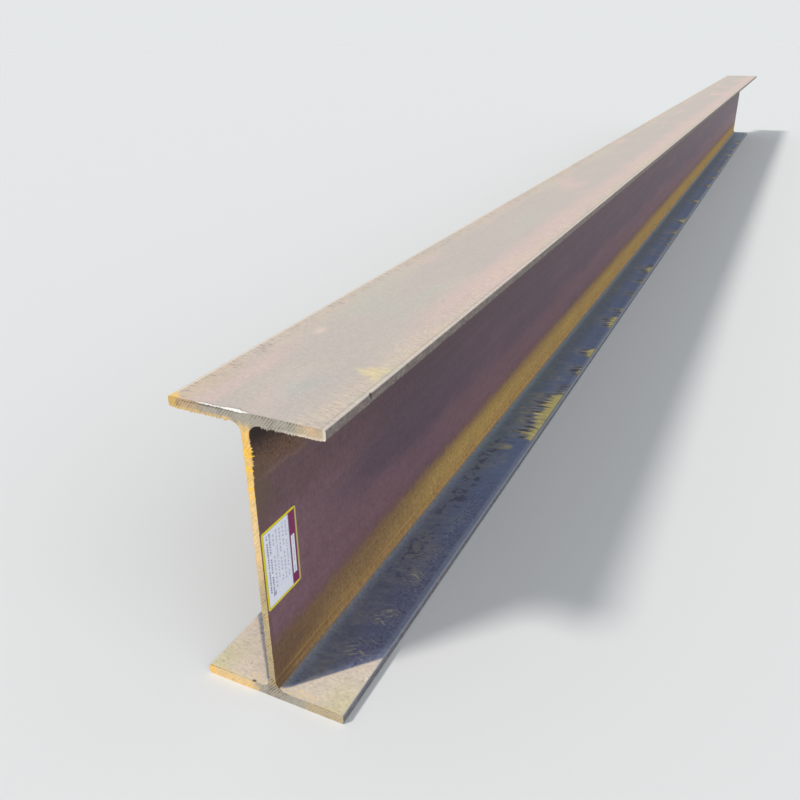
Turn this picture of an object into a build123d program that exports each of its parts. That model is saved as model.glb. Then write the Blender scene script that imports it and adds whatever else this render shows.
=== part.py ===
from build123d import *
import os

# A length of hot-rolled steel H-beam, with the stock label that is stuck on its web.
# Millimetres. X runs across the flanges, Y along the beam, and Z is up.
# The origin lies on the floor, under the middle of the beam.

# The rolled section
section_depth = 400.0
flange_width = 200.0
flange_thickness = 13.0
web_thickness = 8.0
root_radius = 16.0
toe_radius = 2.5

# The length between the two saw cuts
beam_length = 6000.0

# The label, whose long side stands upright on the web
label_width = 70.0
label_height = 110.0
label_thickness = 0.4
label_corner_radius = 3.0
# from the saw cut to the label's near edge
label_end_margin = 2.5
# from the web's mid-height down to the label's centre
label_drop = 10.0

section_mid_height = section_depth / 2
web_face = web_thickness / 2
near_cut = -beam_length / 2


def rolled_section():
    """The outline that the rolls leave, looking along the beam: two flanges and a web.

    A large radius carries the web into each flange at the four roots.
    A small one takes the edge off the eight corners of the toes.
    """
    flange_centre = (section_depth - flange_thickness) / 2
    across = Plane((0, 0, section_mid_height), x_dir=(1, 0, 0), z_dir=(0, -1, 0))
    with BuildSketch(across) as section:
        Rectangle(web_thickness, section_depth)
        with Locations((0, flange_centre), (0, -flange_centre)):
            Rectangle(flange_width, flange_thickness)
        halfway_out = flange_width / 4
        toes = section.vertices().filter_by(lambda corner: abs(corner.X) > halfway_out)
        fillet(toes, toe_radius)
        roots = section.vertices().filter_by(lambda corner: abs(corner.X) < halfway_out)
        fillet(roots, root_radius)
    return section.sketch


def sawn_beam():
    """The section carried straight from one saw cut to the other."""
    return extrude(rolled_section(), amount=beam_length / 2, both=True)


def stock_label():
    """A thin card with round corners, flat on the web beside the near saw cut."""
    along = near_cut + label_end_margin + label_width / 2
    up = section_mid_height - label_drop
    on_web = Plane((web_face, along, up), x_dir=(0, 1, 0), z_dir=(1, 0, 0))
    card = on_web * RectangleRounded(label_width, label_height, label_corner_radius)
    return extrude(card, amount=label_thickness)


pieces = {
    "beam": sawn_beam(),
    "label": stock_label(),
}

os.makedirs("parts", exist_ok=True)
for name, solid in pieces.items():
    export_step(solid, f"parts/{name}.step")
    print(name, "volume", round(solid.volume / 1000, 2), "cm3")
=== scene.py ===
# %% [markdown]
# # A length of rolled steel H-beam
#
# This lesson dresses one measured part: a 6 m beam with two flanges and a web, sawn square at
# both ends, and the label stuck on its web. The measured model comes first, because every piece
# and every stain below takes its place from it. Blender counts in metres. A beam is drawn in
# millimetres, so sizes are named in millimetres here and turned into metres in one place.

# %% Load the measured beam
import math

import bpy
import numpy as np
from mathutils import Matrix, Vector
from mathutils.geometry import delaunay_2d_cdt


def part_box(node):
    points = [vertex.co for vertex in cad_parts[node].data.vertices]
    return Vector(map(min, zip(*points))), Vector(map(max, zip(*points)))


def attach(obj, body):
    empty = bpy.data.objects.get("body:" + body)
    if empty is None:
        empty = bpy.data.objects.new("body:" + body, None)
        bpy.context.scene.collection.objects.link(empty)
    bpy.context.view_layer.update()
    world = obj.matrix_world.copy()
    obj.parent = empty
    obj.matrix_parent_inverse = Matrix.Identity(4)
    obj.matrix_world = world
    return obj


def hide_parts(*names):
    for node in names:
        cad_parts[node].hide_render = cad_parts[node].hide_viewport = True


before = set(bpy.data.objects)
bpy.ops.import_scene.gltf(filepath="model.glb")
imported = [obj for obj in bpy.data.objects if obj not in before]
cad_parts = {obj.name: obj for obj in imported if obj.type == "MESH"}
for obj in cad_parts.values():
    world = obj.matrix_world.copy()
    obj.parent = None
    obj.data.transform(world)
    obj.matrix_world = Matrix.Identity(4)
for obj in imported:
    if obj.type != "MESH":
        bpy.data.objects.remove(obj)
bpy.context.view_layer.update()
MM = 0.001

beam_low, beam_high = (np.array(corner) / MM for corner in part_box("beam"))
label_low, label_high = (np.array(corner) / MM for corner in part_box("label"))
print("beam from", beam_low.round(2), "to", beam_high.round(2), "mm")
print("label from", label_low.round(2), "to", label_high.round(2), "mm")

# %% [markdown]
# ## Where the camera stands
#
# The photograph's vanishing points gave the lens and the place of the camera: half a metre to
# the right of the beam's middle and a little more in front of its end, with the lens well above
# the top flange. The camera keeps that place and that lens. It is only turned further right and
# down, until the whole length is inside the picture. Turning a camera on its own spot changes no
# overlap and no proportion, so the beam's end and web look as they do in the photograph.

# %% Stand the camera
image_side = 800
focal_pixels = 784.2
sensor_width = 36.0
camera_place = Vector((0.471, -3.581, 0.759))
camera_heading = math.radians(-26.4)
camera_pitch = math.radians(-25.5)
camera_roll = math.radians(-0.88)
farthest_seen = 200.0


def looking(heading, pitch, roll):
    """The camera's turn: it looks along +Y, turned right by heading, up by pitch, then rolled."""
    forward = Vector((
        math.sin(heading) * math.cos(pitch),
        math.cos(heading) * math.cos(pitch),
        math.sin(pitch),
    ))
    level = forward.cross(Vector((0, 0, 1))).normalized()
    upright = level.cross(forward)
    right = level * math.cos(roll) + upright * math.sin(roll)
    up = upright * math.cos(roll) - level * math.sin(roll)
    return Matrix((right, up, -forward)).transposed()


camera = bpy.data.objects.new("camera", bpy.data.cameras.new("camera"))
bpy.context.scene.collection.objects.link(camera)
camera.data.sensor_width = sensor_width
camera.data.lens = focal_pixels / image_side * sensor_width
camera.data.clip_end = farthest_seen
camera_turn = looking(camera_heading, camera_pitch, camera_roll)
camera.matrix_world = Matrix.Translation(camera_place) @ camera_turn.to_4x4()
bpy.context.scene.camera = camera
print("lens", round(camera.data.lens, 2), "mm")

# %% [markdown]
# ## The rolled section
#
# Rolls squeeze a glowing bar into this outline, so every point along the beam has the same one:
# two flanges, a web, a large radius at each root and a small one at each toe. The outline is
# worked out once, as straight runs and arcs, and then carried along the beam. It starts under
# the middle of the lower flange and runs round anticlockwise, seen from the labelled end.

# %% Draw the rolled section
flange_width = beam_high[0] - beam_low[0]
section_depth = beam_high[2]
flange_thickness = 13.0
web_thickness = 8.0
root_radius = 16.0
toe_radius = 2.5
fewest_arc_steps = 6

toe = flange_width / 2
web_face = web_thickness / 2
root_end = web_face + root_radius
low_flange_top = flange_thickness
top_flange_under = section_depth - flange_thickness
near_cut = beam_low[1]
far_cut = beam_high[1]
beam_length = far_cut - near_cut


def straight(start, stop, spacing):
    """Points from start up to, but not at, stop: start + t (stop - start) for even steps of t."""
    start, stop = np.array(start, float), np.array(stop, float)
    steps = max(1, round(np.linalg.norm(stop - start) / spacing))
    share = np.arange(steps)[:, None] / steps
    return start + share * (stop - start)


def arc(centre, radius, begin, end, spacing):
    """Points of an arc: centre + radius (cos a, sin a), with a in degrees from begin up to end."""
    steps = max(fewest_arc_steps, round(abs(math.radians(end - begin)) * radius / spacing))
    angle = np.radians(begin + (end - begin) * np.arange(steps) / steps)
    return np.array(centre) + radius * np.stack([np.cos(angle), np.sin(angle)], 1)


def rolled_outline(spacing):
    """The section's closed outline as (x, z) points, about spacing apart.

    Each run ends where the next one starts, so no point comes twice. The right half runs from
    the middle of the underside to the middle of the top, and the left half is its mirror image.
    """
    right = np.concatenate([
        straight((0, 0), (toe - toe_radius, 0), spacing),
        arc((toe - toe_radius, toe_radius), toe_radius, -90, 0, spacing),
        straight((toe, toe_radius), (toe, low_flange_top - toe_radius), spacing),
        arc((toe - toe_radius, low_flange_top - toe_radius), toe_radius, 0, 90, spacing),
        straight((toe - toe_radius, low_flange_top), (root_end, low_flange_top), spacing),
        arc((root_end, low_flange_top + root_radius), root_radius, 270, 180, spacing),
        straight((web_face, low_flange_top + root_radius),
                 (web_face, top_flange_under - root_radius), spacing),
        arc((root_end, top_flange_under - root_radius), root_radius, 180, 90, spacing),
        straight((root_end, top_flange_under), (toe - toe_radius, top_flange_under), spacing),
        arc((toe - toe_radius, top_flange_under + toe_radius), toe_radius, -90, 0, spacing),
        straight((toe, top_flange_under + toe_radius), (toe, section_depth - toe_radius), spacing),
        arc((toe - toe_radius, section_depth - toe_radius), toe_radius, 0, 90, spacing),
        straight((toe - toe_radius, section_depth), (0, section_depth), spacing),
    ])
    left = np.concatenate([[[0, section_depth]], right[:0:-1] * (-1, 1)])
    return np.concatenate([right, left])


def outward(outline):
    """Unit vectors square to a closed outline, away from the steel: the tangent turned right."""
    tangent = np.roll(outline, -1, 0) - np.roll(outline, 1, 0)
    tangent /= np.linalg.norm(tangent, axis=1, keepdims=True)
    return np.stack([tangent[:, 1], -tangent[:, 0]], 1)


outline_spacing = 4.0
outline = rolled_outline(outline_spacing)
print("outline points", len(outline))

# %% [markdown]
# ## The saw's marks
#
# A band saw cuts the beam square. Its straight blade is tilted and jerks a little as it is fed
# through, so it leaves shallow straight grooves, all at one slant and each a feed step from the
# last. They cross the flanges, the roots and the web alike. The same phase, worked out once,
# cuts the grooves in the mesh and stains them in the finish.

# %% Work out the saw's grooves
groove_lean = 0.79
groove_pitch = 3.8
deepest_groove = 0.22
groove_share = 0.72
near_face_seed = 21
far_face_seed = 31


def waves(x, z, seed, longest, count):
    """Smooth uneven waves from -1 to 1: a sum of sines with seeded directions and lengths."""
    draw = np.random.default_rng(seed)
    total = np.zeros(np.broadcast(x, z).shape)
    for _ in range(count):
        length = longest * draw.uniform(0.35, 1.0)
        angle, shift = draw.uniform(0, 2 * math.pi, 2)
        total += np.sin((x * math.cos(angle) + z * math.sin(angle)) * 2 * math.pi / length + shift)
    return total / count


def groove_phase(x, z):
    """Grooves passed so far at a point: x less the groove's lean at that height, over the pitch.

    The mesh calls it with arrays and the finish with wires.
    """
    return (x - groove_lean * z) / groove_pitch


def cut_depth(x, z, seed):
    """How far the saw face lies behind the true cut, in mm.

    Each groove is a cosine of the phase. Slow waves make it deep in one place and faint in
    another, and give the face a slight unevenness of its own.
    """
    wander = 0.35 * waves(x, z, seed, 60, 5)
    groove = 0.5 - 0.5 * np.cos(2 * math.pi * (groove_phase(x, z) + wander))
    strength = np.clip(0.55 + 0.8 * waves(x, z, seed + 1, 90, 5), 0.12, 1)
    uneven = 0.5 + 0.5 * waves(x, z, seed + 2, 120, 4)
    return deepest_groove * (groove_share * groove * strength + (1 - groove_share) * uneven)


print("grooves across a flange", round(flange_width / groove_pitch))

# %% [markdown]
# ## The beam's own mesh
#
# The measured model is exact but bare. This mesh follows it closely and adds what a mill leaves:
# toes that are a hair uneven, one nick in an edge, and grooved sawn ends. The long sides are
# a surface of two parameters, the place along the outline and the distance from the cut. Its
# rows crowd together near the cuts, where the eye looks, and spread out between them. Each
# sawn face is filled with a field of points and triangulated, so the shell is closed.

# %% Carry the section along the beam
row_spacing = 60.0
rows_from_cut = np.array([0.0, 0.5, 1.2, 2.5, 5.0, 9.0, 15.0, 25.0, 40.0])
nick_place = 96.0
rows_at_nick = nick_place + np.array([-8.0, -4.5, -2.5, -1.0, 0.0, 1.0, 2.5, 4.5, 8.0])
nick_depth = 1.6
nick_reach = 2.4
nick_inset = (1.0, 2.0)
toe_unevenness = 0.06
wave_from = 0.9


def row_places():
    """Distances from the near cut of every row of the mesh, in rising order."""
    between = np.arange(row_spacing, beam_length - row_spacing + 1, row_spacing)
    return np.unique(np.concatenate([
        rows_from_cut, rows_at_nick, between, beam_length - rows_from_cut,
    ]))


def rolled_sides(outline, along):
    """The long sides: point (i, j) is outline point i at distance j, less an inward push.

    The push is a slow wave, 0.12 mm at most, on the toes, plus a nick in the top flange's right
    edge, depth * exp(-(distance from the nick / reach)^2). So the measured size holds.
    """
    x, z = outline[:, None, 0], outline[:, None, 1]
    away = outward(outline)
    distance = along[None, :]
    on_toe = np.clip((np.abs(x) - wave_from * toe) / ((1 - wave_from) * toe), 0, 1)
    rolled_wave = toe_unevenness * on_toe * (1 + waves(distance, z * 4 + x, 11, 700, 6))
    nick_x, nick_z = toe - nick_inset[0], section_depth - nick_inset[1]
    from_nick = (x - nick_x) ** 2 + (z - nick_z) ** 2 + (distance - nick_place) ** 2
    push = rolled_wave + nick_depth * np.exp(-from_nick / nick_reach**2)
    return np.stack([
        x - away[:, None, 0] * push,
        np.broadcast_to(near_cut + distance, push.shape),
        z - away[:, None, 1] * push,
    ], 2)


along_rows = row_places()
sides = rolled_sides(outline, along_rows)
sides[:, 0, 1] += cut_depth(*outline.T, near_face_seed)
sides[:, -1, 1] -= cut_depth(*outline.T, far_face_seed)
print("side rows", sides.shape[1], "of", sides.shape[0], "points")

# %% Fill the sawn faces with points
face_spacing = 0.95
edge_clearance = 0.5
inner_triangles_only = 1
same_point = 1e-6


def inside_section(x, z):
    """True in the steel: in a flange, in the web, or in a root outside the circle of its radius."""
    across = np.abs(x)
    from_flange = np.minimum(z, section_depth - z)
    in_flange = (from_flange > 0) & (from_flange < flange_thickness) & (across < toe)
    corner_x = across - toe + toe_radius
    corner_z = np.maximum(toe_radius - from_flange, from_flange - flange_thickness + toe_radius)
    off_toe = (corner_x > 0) & (corner_z > 0) & (np.hypot(corner_x, corner_z) > toe_radius)
    in_web = across < web_face
    root_middle = flange_thickness + root_radius
    in_root = (across < root_end) & (from_flange < root_middle)
    in_root &= np.hypot(across - root_end, from_flange - root_middle) > root_radius
    return (in_flange & ~off_toe) | ((in_web | in_root) & (from_flange > 0))


def face_points(outline):
    """An even field of points in the section, every other row half a step on.

    Points nearer than the clearance to a run of the outline are left out. The nearest point of a
    run lies at the share (offset . run) / (run . run) of it, kept from 0 to 1.
    """
    rows = np.arange(edge_clearance, section_depth, face_spacing * math.sqrt(3) / 2)
    columns = np.arange(-toe, toe, face_spacing)
    x = columns[None, :] + 0.5 * face_spacing * (np.arange(len(rows)) % 2)[:, None]
    z = np.broadcast_to(rows[:, None], x.shape)
    field = np.stack([x.ravel(), z.ravel()], 1)
    field = field[inside_section(field[:, 0], field[:, 1])]
    run = np.roll(outline, -1, 0) - outline
    offset = field[:, None] - outline
    share = np.clip((offset * run).sum(2) / (run * run).sum(1), 0, 1)
    gap = np.linalg.norm(offset - share[:, :, None] * run, axis=2).min(1)
    return field[gap > edge_clearance]


face_field = face_points(outline)
ring = list(range(len(outline)))
flat = np.concatenate([outline, face_field]).tolist()
filled = delaunay_2d_cdt(flat, [], [ring], inner_triangles_only, same_point)
face_triangles = np.array(filled[2])
assert len(filled[0]) == len(flat), "the sawn face gained or lost points"
print("sawn face: points", len(flat), "triangles", len(face_triangles))

# %% Join the sides and the sawn faces into one closed shell
WEB, LOWER_FLANGE, UPPER_FLANGE, SAWN = range(4)
flange_finish_ends = low_flange_top + 4.5
height_slack = 0.05


def finish_of_runs(outline):
    """Which finish each run of the outline wears: its flange's, or else the web's."""
    height = (outline[:, 1] + np.roll(outline[:, 1], -1)) / 2
    finish = np.full(len(outline), WEB)
    finish[(height > height_slack) & (height < flange_finish_ends)] = LOWER_FLANGE
    finish[height > top_flange_under + height_slack] = UPPER_FLANGE
    return finish


def closed_shell(sides, run_finish, field, triangles):
    """Vertices, faces and their finish: quads between neighbouring rows, then both sawn faces.

    The first outline of points is shared by the side's first row and the near face, and the
    last one by the side's last row and the far face.
    """
    around, rows = sides.shape[:2]
    index = np.arange(around * rows).reshape(around, rows)
    here, after = index, np.roll(index, -1, 0)
    quads = np.stack([here[:, :-1], here[:, 1:], after[:, 1:], after[:, :-1]], 2).reshape(-1, 4)
    near = np.stack([field[:, 0], near_cut + cut_depth(*field.T, near_face_seed), field[:, 1]], 1)
    far = np.stack([field[:, 0], far_cut - cut_depth(*field.T, far_face_seed), field[:, 1]], 1)
    near_index = np.concatenate([index[:, 0], around * rows + np.arange(len(field))])
    far_index = np.concatenate([index[:, -1], around * rows + len(field) + np.arange(len(field))])
    vertices = np.concatenate([sides.reshape(-1, 3), near, far]) * MM
    ends = near_index[triangles].tolist() + far_index[triangles[:, ::-1]].tolist()
    finish = np.concatenate([np.repeat(run_finish, rows - 1), np.full(2 * len(triangles), SAWN)])
    return vertices, quads.tolist() + ends, finish


def new_piece(name, vertices, faces, sharp_from=None):
    """A mesh object at the origin with its place in its mesh, smooth up to the given angle."""
    mesh = bpy.data.meshes.new(name)
    mesh.from_pydata(vertices.tolist(), [], faces)
    mesh.update()
    mesh.shade_smooth()
    if sharp_from is not None:
        mesh.set_sharp_from_angle(angle=math.radians(sharp_from))
    piece = bpy.data.objects.new(name, mesh)
    bpy.context.scene.collection.objects.link(piece)
    return piece


shell_vertices, shell_faces, shell_finish = closed_shell(
    sides, finish_of_runs(outline), face_field, face_triangles)
rolled_beam = new_piece("rolled_beam", shell_vertices, shell_faces, sharp_from=50)
rolled_beam.data.polygons.foreach_set("material_index", shell_finish.astype(np.int32))
print("rolled beam: vertices", len(shell_vertices), "faces", len(shell_faces))

# %% [markdown]
# ## The saw's burr
#
# Where the blade leaves the steel it pushes a ragged fringe out past the edge. The photograph
# shows it as small teeth under the top flange and along the web, longest just below the top
# root. The fringe is a thin wedge carried along the outline. Its height is a line through
# seeded valleys and peaks, and a slow envelope says where the teeth are long. It stands only
# inside the two channels, so it never reaches past the beam's own size.

# %% Grow the burr
burr_spacing = 0.45
burr_root = 0.35
burr_lean = 0.35
burr_fade = 6.0
edge_slack = 0.01
burr_front, burr_tip_back, burr_foot_back = 0.1, 0.32, 0.8
tooth_steps = (0.7, 2.3)
low_mean_step = 1.2
shortest_tooth, tooth_spread = 0.25, 1.6
valley_share = 0.2


def channel_edge(side):
    """The (x, z) points of one channel's outline, from the lower toe round to the upper toe."""
    fine = rolled_outline(burr_spacing)
    away = outward(fine)
    x, z = fine.T
    inner = (np.abs(x) < toe - toe_radius) & (x * side > 0)
    inner &= (z > low_flange_top - edge_slack) & (z < top_flange_under + edge_slack)
    return fine[inner], away[inner]


def bell(value, centre, width):
    """1 at the centre, falling smoothly to about a third one width away."""
    return np.exp(-(((value - centre) / width) ** 2))


def burr_reach(x, z):
    """How long the teeth may be at a point of the channel's edge, in mm.

    Each bell is a stretch where the photograph shows long teeth.
    """
    across = np.abs(x)
    under_top = (z > top_flange_under - 1) & (across > root_end)
    on_web = across < web_face + 1
    on_flange = 1.5 + 2.0 * bell(across, 28, 9) + 1.2 * bell(across, 62, 22)
    right_web = 0.5 + 5.6 * bell(z, 350, 17) + 2.2 * bell(z, 322, 9)
    left_web = 1.1 + 1.0 * bell(z, 352, 24)
    low = 0.4 * (z < low_flange_top + root_radius)
    return 0.25 + under_top * on_flange + on_web * np.where(x > 0, right_web, left_web) + low


def burr_height(distance, reach, seed):
    """Height along the edge: straight lines between valleys and peaks at seeded uneven steps."""
    draw = np.random.default_rng(seed)
    steps = draw.uniform(*tooth_steps, int(distance[-1] / low_mean_step))
    knots = np.cumsum(steps)
    peaks = shortest_tooth + draw.beta(tooth_spread, tooth_spread, len(knots))
    peaks[::2] *= valley_share
    return np.interp(distance, knots, peaks) * reach


def burr_wedge(cut, inwards, side, seed):
    """A closed strip along one edge: four corners at each step, swept along, with both ends shut.

    Two corners lie sunk in the steel, one at the cut and one further back. The other two are the
    tip, which stands out by the burr's height and leans along the edge. inwards is the sign of Y
    that leads from the cut into the steel, and side is the sign of x in the channel.
    """
    edge, away = channel_edge(side)
    distance = np.concatenate([[0], np.cumsum(np.linalg.norm(np.diff(edge, axis=0), axis=1))])
    height = burr_height(distance, burr_reach(edge[:, 0], edge[:, 1]), seed)
    height *= np.clip(np.minimum(distance, distance[-1] - distance) / burr_fade, 0, 1)
    ahead = np.gradient(edge, axis=0)
    ahead /= np.linalg.norm(ahead, axis=1, keepdims=True)
    lean = burr_lean * height * side
    foot = edge - away * burr_root
    tip = edge + away * (height[:, None] - 0.5 * burr_root) + ahead * lean[:, None]
    back = burr_foot_back + 0.5 * height
    corners = [(foot, burr_front), (tip, burr_front), (tip, burr_tip_back), (foot, back)]
    strip = np.stack([
        np.stack([p[:, 0], np.broadcast_to(cut + inwards * b, len(p)), p[:, 1]], 1)
        for p, b in corners
    ], 1)
    count = len(edge)
    index = np.arange(count * 4).reshape(count, 4)
    beside = np.roll(index, -1, 1)
    walls = np.stack([index[:-1], index[1:], beside[1:], beside[:-1]], 2).reshape(-1, 4)
    ends = np.array([index[0], index[-1][::-1]])
    faces = np.concatenate([walls, ends])
    if inwards > 0:
        faces = faces[:, ::-1]
    return strip.reshape(-1, 3), faces


burr_parts = [
    burr_wedge(near_cut, inwards=1, side=1, seed=41),
    burr_wedge(near_cut, inwards=1, side=-1, seed=42),
    burr_wedge(far_cut, inwards=-1, side=1, seed=43),
    burr_wedge(far_cut, inwards=-1, side=-1, seed=44),
]
burr_starts = np.cumsum([0] + [len(v) for v, _ in burr_parts])
burr_vertices = np.concatenate([v for v, _ in burr_parts]) * MM
burr_faces = np.concatenate([f + s for (_, f), s in zip(burr_parts, burr_starts)]).tolist()
saw_burr = new_piece("saw_burr", burr_vertices, burr_faces, sharp_from=35)
print("burr: vertices", len(burr_vertices), "faces", len(burr_faces))

# %% [markdown]
# ## Shader maths as plain sums
#
# Steel looks the way it does because of many thin layers: scale, rust, scratches and stains.
# Each one is a mask, a number from 0 to 1 that depends on the place. Wiring such sums by hand
# takes hundreds of lines, so one small class wraps a socket and lets masks be added and
# multiplied as numbers are. One method of the graph makes every other node. A finish is a
# graph that is built up in coats, as the real surface is.

# %% Wrap a socket so that sums add Math nodes


class Wire:
    """One output of a shader node. Sums with it add Math nodes to the same tree.

    The reflected forms are there for sums that start with a plain number, such as 1 - mask.
    """

    def __init__(self, graph, socket):
        self.graph = graph
        self.socket = socket

    def math(self, operation, *values):
        """A Math node of that operation on wires and numbers."""
        return self.graph.node("ShaderNodeMath", {"operation": operation}, dict(enumerate(values)))

    def __add__(self, other):
        return self.math("ADD", self, other)

    def __radd__(self, other):
        return self.math("ADD", other, self)

    def __sub__(self, other):
        return self.math("SUBTRACT", self, other)

    def __rsub__(self, other):
        return self.math("SUBTRACT", other, self)

    def __mul__(self, other):
        return self.math("MULTIPLY", self, other)

    def __rmul__(self, other):
        return self.math("MULTIPLY", other, self)

    def __truediv__(self, other):
        return self.math("DIVIDE", self, other)

    def __abs__(self):
        return self.math("ABSOLUTE", self)


# %% Fill a node tree


def as_light(screen_colour):
    """A colour as a screen shows it, 0 to 255, turned into the light that a shader counts in."""
    screen = np.array(screen_colour) / 255
    light = np.where(screen <= 0.04045, screen / 12.92, ((screen + 0.055) / 1.055) ** 2.4)
    return light.tolist()


class Graph:
    """The node tree of a material or of the world, emptied and then filled node by node."""

    def __init__(self, owner):
        owner.use_nodes = True
        self.tree = owner.node_tree
        self.tree.nodes.clear()

    def node(self, kind, settings=None, inputs=None, output=0):
        """Adds a node: first its settings, then a value or a link for each socket named."""
        made = self.tree.nodes.new(kind)
        for name, value in (settings or {}).items():
            setattr(made, name, value)
        for name, value in (inputs or {}).items():
            self.feed(made.inputs[name], value)
        return Wire(self, made.outputs[output]) if made.outputs else None

    def feed(self, socket, value):
        """Links a wire to a socket, or sets a number, a vector or a screen colour on it."""
        if isinstance(value, Wire):
            self.tree.links.new(value.socket, socket)
        else:
            socket.default_value = (*as_light(value), 1.0) if socket.type == "RGBA" else value


# %% Make a finish out of coats
SEED_STEPS = (17.3, 9.1, 5.7)
NOISE_MIDDLE = 0.5
NOISE_GAIN = 3.2


class Finish(Graph):
    """A material that is built up in coats, each one laid over the last where its mask says.

    x, y and z are the place in millimetres, with y counted from the near cut, and side is the
    distance from the beam's middle plane. The region is a mask that every coat keeps to.
    """

    def __init__(self, name, base, rough, metal):
        self.material = bpy.data.materials.new(name)
        super().__init__(self.material)
        self.place = self.node("ShaderNodeTexCoord", output="Object")
        parts = self.node("ShaderNodeSeparateXYZ", inputs={0: self.place}).socket.node
        x, y, z = (Wire(self, socket) for socket in parts.outputs)
        self.x = x / MM
        self.y = y / MM - near_cut
        self.z = z / MM
        self.side = abs(self.x)
        self.region = None
        self.skin = base
        self.rough = rough
        self.metal = metal
        self.relief = 0.0

    def rise(self, value, low, high):
        """0 below low, 1 above high and smooth between."""
        inputs = {"Value": value, "From Min": low, "From Max": high}
        return self.node("ShaderNodeMapRange", {"interpolation_type": "SMOOTHSTEP"}, inputs)

    def fall(self, value, low, high):
        """1 below low, 0 above high and smooth between."""
        return 1 - self.rise(value, low, high)

    def between(self, value, low, high, soft):
        """1 between low and high, with edges that fade over soft."""
        half = soft / 2
        return self.rise(value, low - half, low + half) * self.fall(value, high - half, high + half)

    def hump(self, value, centre, width):
        """1 at the centre, falling smoothly to 0 one width away on both sides."""
        return self.fall(abs(value - centre), 0, width)

    def blend(self, mask, first, second):
        """first where the mask is 0 and second where it is 1, for colours."""
        settings = {"data_type": "RGBA"}
        return self.node("ShaderNodeMix", settings, {0: mask, 6: first, 7: second}, output=2)

    def shade(self, base, amount):
        """The colour times a number, so that it goes darker below 1 and lighter above."""
        light = base if isinstance(base, Wire) else as_light(base)
        grey = self.node("ShaderNodeCombineXYZ", inputs={0: amount, 1: amount, 2: amount})
        return self.node("ShaderNodeVectorMath", {"operation": "MULTIPLY"}, {0: light, 1: grey})

    def grain(self, size, seed, detail=2, rough=0.5, swirl=0.0, place=None):
        """Noise about 0, mostly from -1 to 1, whose blotches are size = (x, y, z) millimetres.

        The seed moves the place, so that no two grains with other seeds look alike.
        """
        stretch = [1 / (MM * length) for length in size]
        shift = [step * seed for step in SEED_STEPS]
        inputs = {0: place or self.place, 1: stretch, 2: shift}
        where = self.node("ShaderNodeVectorMath", {"operation": "MULTIPLY_ADD"}, inputs)
        noise = self.node("ShaderNodeTexNoise", inputs={
            "Vector": where, "Scale": 1, "Detail": detail, "Roughness": rough, "Distortion": swirl,
        })
        return (noise - NOISE_MIDDLE) * NOISE_GAIN

    def specks(self, size, seed, low, high, **noise):
        """Only the peaks of a grain: 0 where it is below low, 1 above high."""
        return self.rise(self.grain(size, seed, **noise), low, high)

    def turned(self, degrees):
        """The place turned about Z, so that a stretched grain runs aslant on a flange."""
        inputs = {0: self.place, "Angle": math.radians(degrees)}
        return self.node("ShaderNodeVectorRotate", {"rotation_type": "Z_AXIS"}, inputs)

    def coat(self, mask, skin=None, rough=None, metal=None, relief=None):
        """Lays one coat in the region: its own colour, roughness, metal and relief, by its mask."""
        if self.region is not None:
            mask = mask * self.region
        if skin is not None:
            self.skin = self.blend(mask, self.skin, skin)
        if rough is not None:
            self.rough = self.rough + mask * (rough - self.rough)
        if metal is not None:
            self.metal = self.metal + mask * (metal - self.metal)
        if relief is not None:
            self.relief = self.relief + mask * relief

    def done(self, specular=0.3):
        """Joins the coats to one surface shader. The relief is in millimetres."""
        inputs = {"Strength": 1, "Distance": MM, "Height": self.relief}
        bump = self.node("ShaderNodeBump", inputs=inputs)
        surface = self.node("ShaderNodeBsdfPrincipled", inputs={
            "Base Color": self.skin, "Roughness": self.rough, "Metallic": self.metal,
            "Normal": bump, "Specular IOR Level": specular,
        })
        self.node("ShaderNodeOutputMaterial", inputs={"Surface": surface})
        print(self.material.name, "has", len(self.tree.nodes), "nodes")
        return self.material


# %% [markdown]
# ## Scale on the web
#
# A beam leaves the rolls red hot and grows a thin skin of scale. On the web it is a reddish
# brown that turns to violet in long clouds, with faint lines that the rolls drew. The web's
# colours are partly the scale's own and partly painted shade: darker and more violet than the
# scale in light, as the web lay in shade. All of it is placed by the object's own coordinates,
# so a stain stays where it is on the real beam. The same noise, stretched along the beam, makes
# both the clouds and the lines.

# %% Lay the web's scale
# The web's browns and violets are partly painted shade, darker than the scale's own colour.
shaded_scale_brown = (122, 91, 98)
shaded_scale_violet = (96, 75, 88)
scale_rose = (136, 100, 112)
scale_olive = (104, 84, 66)
scale_dark = (62, 47, 42)
grit_brown = (122, 92, 72)
grit_pale = (168, 140, 112)


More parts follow.
